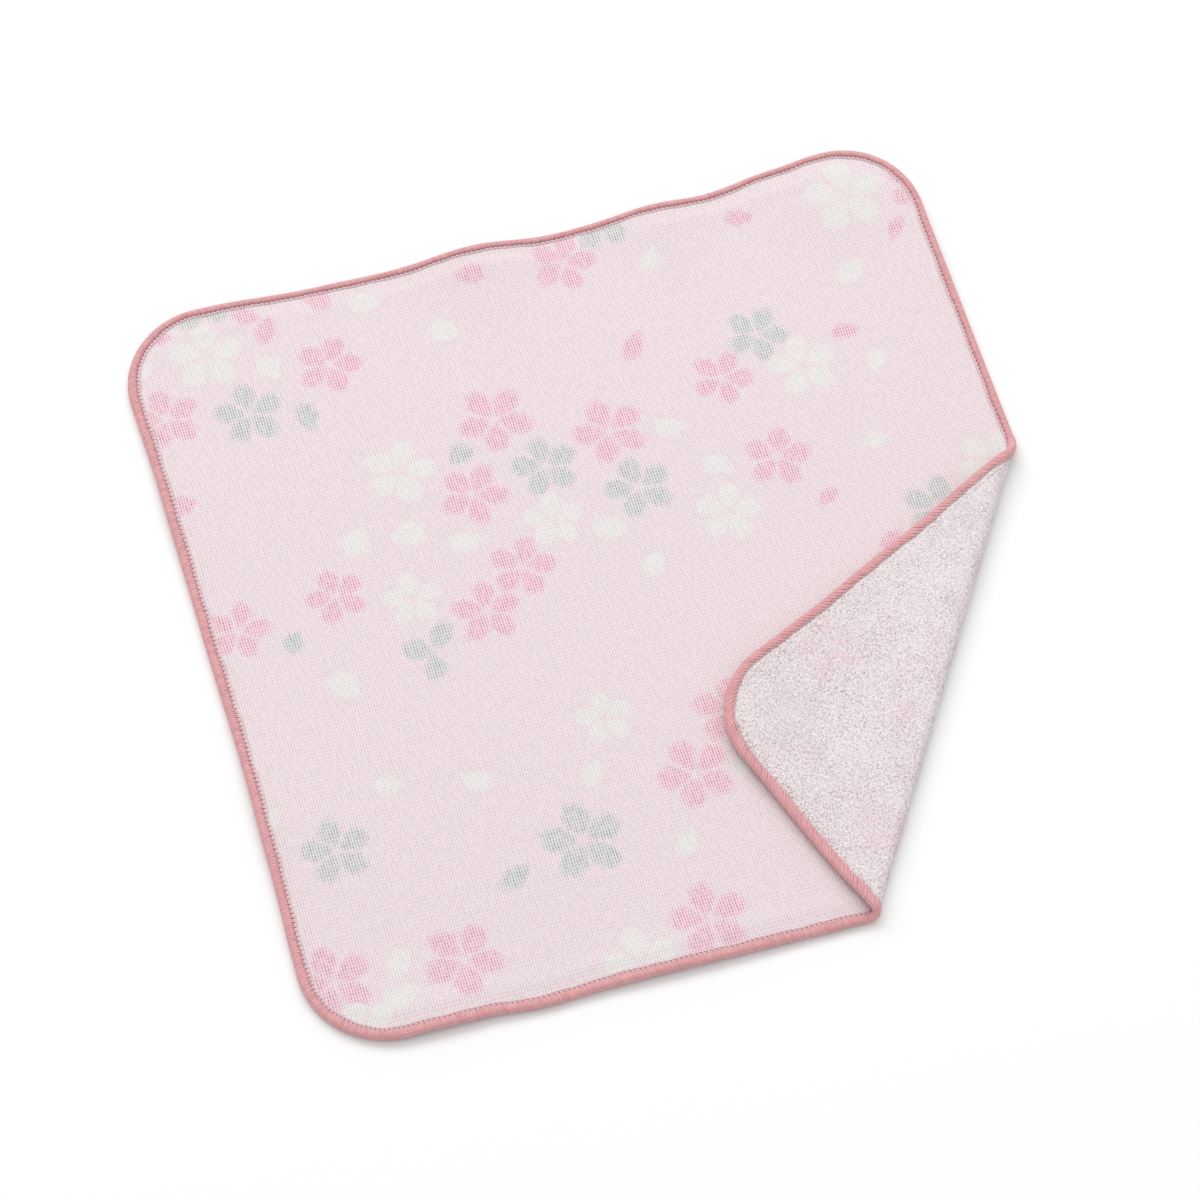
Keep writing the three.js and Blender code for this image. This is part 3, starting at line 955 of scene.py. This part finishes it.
def outline_places():
    """The true outline as straight runs and quarter turns: (length, start, heading, turn radius)."""
    h = HALF_SIDE
    corners = [("lower right", 1, -1), ("upper right", 1, 1), ("upper left", -1, 1),
               ("lower left", -1, -1)]
    runs = []
    for step, (name, sx, sy) in enumerate(corners):
        radius = CORNER_RADIUS[name]
        heading = step * math.pi / 2
        travel = np.array([math.cos(heading), math.sin(heading)])
        before = CORNER_RADIUS[corners[step - 1][0]]
        corner = np.array([sx * h, sy * h], float)
        start = corner - travel * (2 * h - before)
        length = 2 * h - before - radius
        runs.append((length, start, heading, 0))
        runs.append((radius * math.pi / 2, start + travel * length, heading, radius))
    return runs


OUTLINE = outline_places()
OUTLINE_LENGTH = sum(run[0] for run in OUTLINE)


def edge_place(at, depth):
    """(u, v) at a distance along the outline, anticlockwise, and a depth inside it."""
    at = np.mod(at, OUTLINE_LENGTH)
    x, y = np.zeros(np.shape(at)), np.zeros(np.shape(at))
    begin = 0.0
    for length, start, heading, radius in OUTLINE:
        here = (at >= begin) & (at < begin + length)
        gone = at - begin
        angle = heading + (gone / radius if radius else 0 * gone)
        inward_x, inward_y = -np.sin(angle), np.cos(angle)
        if radius:
            px = start[0] - radius * math.sin(heading) - (radius - depth) * inward_x
            py = start[1] + radius * math.cos(heading) - (radius - depth) * inward_y
        else:
            px = start[0] + gone * math.cos(heading) + depth * inward_x
            py = start[1] + gone * math.sin(heading) + depth * inward_y
        x, y = np.where(here, px, x), np.where(here, py, y)
        begin += length
    return wandered(x, y)


STITCHES = round(OUTLINE_LENGTH / STITCH)
PITCH = OUTLINE_LENGTH / STITCHES
# Each row is (distance along the outline from the lower left, share of the band's full width)
BAND_WIDTHS = [(200, 1.0), (250, 0.88), (450, 0.84), (490, 0.74), (670, 0.78), (720, 1.0)]
# Each row is (waves round the outline, share of the width, where the wave starts)
BAND_WAVES = [(19, 0.025, 0.0), (47, 0.03, 1.3), (103, 0.02, 4.0)]


def band_share(at):
    """How wide the edging is at a distance along the outline, as a share of its full width."""
    at = np.mod(at, OUTLINE_LENGTH)
    turn = 2 * math.pi * at / OUTLINE_LENGTH
    sway = sum(share * np.sin(waves * turn + start) for waves, share, start in BAND_WAVES)
    return smooth_rows(BAND_WIDTHS, at) + sway


print("outline", round(OUTLINE_LENGTH, 1), "mm,", STITCHES, "stitches")

# %% The edging's body
Section = namedtuple("Section", "depth off")
FRONT_SECTION = [
    Section(0.20, 0.0), Section(0.24, 0.45), Section(0.55, 0.92), Section(1.15, 1.12),
    Section(1.85, 1.12), Section(2.35, 0.94), Section(2.75, 0.62), Section(3.2, 0.56),
    Section(3.7, 0.52), Section(3.95, 0.42), Section(2.4, 0.41), Section(1.0, 0.41),
]
BACK_SECTION = [
    Section(1.0, -0.48), Section(2.4, -0.48), Section(3.5, -0.48), Section(3.3, -0.60),
    Section(2.7, -0.92), Section(1.9, -1.12), Section(1.15, -1.12), Section(0.55, -0.92),
    Section(0.24, -0.45), Section(0.20, 0.0),
]


def mark_stitches(bm, stitch, depth):
    """A UV map that counts stitches along the edge. Its height is the depth, negative at the back."""
    bm.verts.index_update()
    layer = bm.loops.layers.uv.new("stitches")
    for face in bm.faces:
        for loop in face.loops:
            loop[layer].uv = (stitch[loop.vert.index], depth[loop.vert.index])


def edging_body():
    ring = np.array(FRONT_SECTION + BACK_SECTION)
    side = np.array([1] * len(FRONT_SECTION) + [-1] * len(BACK_SECTION))
    bm = bmesh.new()
    bmesh.ops.create_grid(bm, x_segments=STITCHES, y_segments=len(ring) - 1, size=0.5)
    grid = points_of(bm)
    at = (grid[:, 0] + 0.5) * OUTLINE_LENGTH
    row = np.clip(np.round((grid[:, 1] + 0.5) * (len(ring) - 1)).astype(int), 0, len(ring) - 1)
    depth, off = ring[row, 0], ring[row, 1]
    mark_stitches(bm, at / PITCH, depth * side[row])
    move_points(bm, lay(*edge_place(at, depth * band_share(at)), off))
    bmesh.ops.remove_doubles(bm, verts=bm.verts[:], dist=0.01 * MM)
    bmesh.ops.recalc_face_normals(bm, faces=bm.faces[:])
    for face in bm.faces:
        face.smooth = True
    print("edging body closed:", all(edge.is_manifold for edge in bm.edges), len(bm.faces), "faces")
    return mesh_from(bm, "edging_body")


# %% The edging's threads
Route = namedtuple("Route", "forward depth off")
WINDING = [
    Route(0.00, 3.45, -0.60), Route(-0.25, 2.95, -0.90), Route(-0.95, 2.10, -1.18),
    Route(-1.55, 1.10, -1.12), Route(-1.80, 0.32, -0.62), Route(-1.88, 0.16, 0.0),
    Route(-1.96, 0.30, 0.62), Route(-2.06, 1.05, 1.10), Route(-2.12, 1.85, 1.12),
    Route(-2.16, 2.72, 0.72),
]
WINDING_HALF_WIDTH = 0.52
WINDING_HALF_THICK = 0.12
STRANDS = 2
STRAND_SPREAD = 0.25
TAPERED_SHARE = 0.16
TAPERED_TO = 0.45


def along_route(route, share):
    """The place on a route of evenly spaced stops, for a share of the way from 0 to 1."""
    table = np.array(route)
    ticks = np.linspace(0, 1, len(table))
    return [np.interp(share, ticks, table[:, column]) for column in range(3)]


def thickened(route, bar, half_thick):
    """The route's stops for each point of the bar, moved out by its thickness at right angles."""
    share = bar[:, 0]
    forward, depth, off = along_route(route, share)
    step = 0.02
    _, depth_on, off_on = along_route(route, np.clip(share + step, 0, 1))
    _, depth_back, off_back = along_route(route, np.clip(share - step, 0, 1))
    way = np.stack([depth_on - depth_back, off_on - off_back], axis=1)
    way /= np.linalg.norm(way, axis=1, keepdims=True)
    out = bar[:, 2] * half_thick
    return forward, depth - out * way[:, 1], off + out * way[:, 0]


def lay_threads(at, depth, off):
    """Lays threads that share their offs, and whose depths are for the band's full width."""
    return lay(*edge_place(at, depth * band_share(at)), np.broadcast_to(off, at.shape))


def shade_threads(mesh, many, count, random):
    """Gives each thread a shade of its own, from 0 to 1."""
    shade = np.zeros((many, 3))
    shade[:, 0] = random.uniform(0, 1, many)
    point_values(mesh, "shade", np.repeat(shade, count, axis=0))


def winding_mesh():
    """Two strands to a stitch: they start together on the terry side and part on their way round."""
    random = np.random.default_rng(21)
    bar, faces = straight_bar(4, len(WINDING) - 1)
    forward, depth, off = thickened(WINDING, bar, WINDING_HALF_THICK)
    strand = np.arange(STITCHES * STRANDS)
    side = (strand % STRANDS) * 2 - 1
    parting = np.sqrt(np.sin(math.pi * np.clip(bar[:, 0], 0.02, 0.5)))
    swell = 1 + random.uniform(-0.1, 0.1, len(strand))[:, None]
    swell = swell * lerp(TAPERED_TO, 1, smoothstep(bar[None, :, 0], 0, TAPERED_SHARE))
    apart = STRAND_SPREAD * side[:, None] * parting[None]
    middles = (strand // STRANDS)[:, None] + forward[None] + apart
    at = middles * PITCH + bar[None, :, 1] * WINDING_HALF_WIDTH * swell
    reach = 1 + random.uniform(-0.05, 0.05, len(strand))[:, None]
    copies = lay_threads(at, depth * reach, off)
    mesh = joined_mesh("edging_windings", copies, faces)
    shade_threads(mesh, *copies.shape[:2], random)
    return mesh


# %% The thin thread along the needle holes
HOLDING = [
    Route(0.06, 3.36, 0.56), Route(0.28, 3.46, 0.72), Route(0.72, 3.50, 0.72), Route(0.94, 3.56, 0.56),
]
HOLDING_HALF_WIDTH = 0.2


def holding_mesh():
    """The thread runs along the edge, so its width lies across the route, in depth."""
    random = np.random.default_rng(22)
    bar, faces = straight_bar(4, len(HOLDING) - 1)
    forward, depth, off = along_route(HOLDING, bar[:, 0])
    depth = depth + bar[:, 1] * HOLDING_HALF_WIDTH
    off = off + bar[:, 2] * WINDING_HALF_THICK
    at = (np.arange(STITCHES)[:, None] + forward[None]) * PITCH
    copies = lay_threads(at, depth, off)
    mesh = joined_mesh("edging_holding_thread", copies, faces)
    shade_threads(mesh, *copies.shape[:2], random)
    return mesh


# %% [markdown]
# ## The edging's thread
# The thread is dyed salmon pink. It is a bulky, soft yarn, so it has a wide sheen and hardly any
# gloss. Between the windings it looks darker, because little light gets in; the body under them is
# painted a darker salmon as painted shade.


# %% The edging's materials
def edging_thread(name, light, dark):
    graph = Graph(name)
    place = graph.add("TexCoord").outputs["Object"]
    fibre = noise_at(graph, place, 900.0, detail=3.0)
    shade = graph.add("Attribute", attribute_name="shade").outputs["Vector"]
    own = graph.add("SeparateXYZ", {0: shade}).outputs[0]
    mixed = graph.sum("MULTIPLY_ADD", own, 0.3, graph.sum("MULTIPLY", fibre, 0.7))
    colour = graph.blend(graph.ramp(mixed, 0.1, 0.9), dark, light)
    bump = graph.add("Bump", {"Height": fibre, "Strength": 0.3, "Distance": 0.1 * MM})
    return graph.finish(Base_Color=colour, Roughness=0.7, Specular_IOR_Level=0.25,
                        Normal=bump.outputs[0], Sheen_Weight=0.25, Sheen_Roughness=0.4)


# Where the needle holes lie: how deep, and what share of the way from one stitch to the next
HOLE_DEPTH = 2.98
HOLE_AT = 0.84
# The needle holes are darkened: painted shade.
HOLE_SHADE = linear(160, 92, 102)
HOLE_RADIUS = 0.38
HOLE_FULL_RADIUS = 0.16
# The body's salmon is the thread's own dye, made darker for the shade between the windings: painted
# shade.
FRONT_THREAD_SHADED = linear(208, 148, 152)
BACK_THREAD_SHADED = linear(202, 140, 148)
FRONT_CLOTH = linear(231, 211, 215)
BACK_CLOTH = linear(226, 206, 206)


def sewn_body():
    """Painted shade in darker salmon under the windings and in the needle holes; pale where cloth shows
    through.
    """
    graph = Graph("sewn_body")
    uv = graph.add("SeparateXYZ", {0: graph.add("UVMap", uv_map="stitches").outputs[0]})
    along, depth = uv.outputs[0], uv.outputs[1]
    turn = graph.sum("SUBTRACT", graph.sum("FRACT", graph.sum("ADD", along, 1.5 - HOLE_AT)), 0.5)
    beside, beyond = graph.sum("MULTIPLY", turn, PITCH), graph.sum("SUBTRACT", depth, HOLE_DEPTH)
    apart = graph.sum("MULTIPLY_ADD", beside, beside, graph.sum("MULTIPLY", beyond, beyond))
    # Under the windings the body is a darker salmon: painted shade.
    colour = graph.blend(graph.ramp(depth, 2.75, 3.15), FRONT_THREAD_SHADED, FRONT_CLOTH)
    colour = graph.blend(graph.ramp(depth, -2.5, -2.7), colour, BACK_THREAD_SHADED)
    colour = graph.blend(graph.ramp(depth, -2.95, -3.2), colour, BACK_CLOTH)
    # Dark spots at the needle holes: painted shade.
    hole_shade = graph.ramp(graph.sum("SQRT", apart), HOLE_RADIUS, HOLE_FULL_RADIUS)
    colour = graph.blend(hole_shade, colour, HOLE_SHADE)
    fibre = noise_at(graph, graph.add("TexCoord").outputs["Object"], 900.0, detail=3.0)
    bump = graph.add("Bump", {"Height": fibre, "Strength": 0.3, "Distance": 0.1 * MM})
    return graph.finish(Base_Color=colour, Roughness=0.8, Specular_IOR_Level=0.2,
                        Normal=bump.outputs[0])


winding_thread = edging_thread("winding_thread", linear(228, 173, 174), linear(208, 150, 154))
holding_thread = edging_thread("holding_thread", linear(232, 206, 211), linear(224, 194, 200))
body_thread = sewn_body()

edging_body_piece = add_object("edging_body", edging_body(), body_thread)
windings = add_object("edging_windings", winding_mesh(), winding_thread)
holding = add_object("edging_holding_thread", holding_mesh(), holding_thread)
for piece in (edging_body_piece, windings, holding):
    print(piece.name, triangles(piece.data), "triangles")

# %% [markdown]
# ## Tying the pieces to the frame
# Each piece rides on the one rigid body. The laid sheet stands for the cloth's solid, and the
# edging's body for the edging's, so those two parts of the frame are hidden.

# %% Ride and replace
trimmings = [edging_body_piece, windings, holding]
for piece in [cloth, *pile_pieces, *trimmings]:
    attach(piece, "root")
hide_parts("cloth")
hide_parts("edging")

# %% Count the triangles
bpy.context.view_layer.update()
total = sum(triangles(piece.data) for piece in [cloth, *pile_pieces, *trimmings])
print("all triangles:", total)
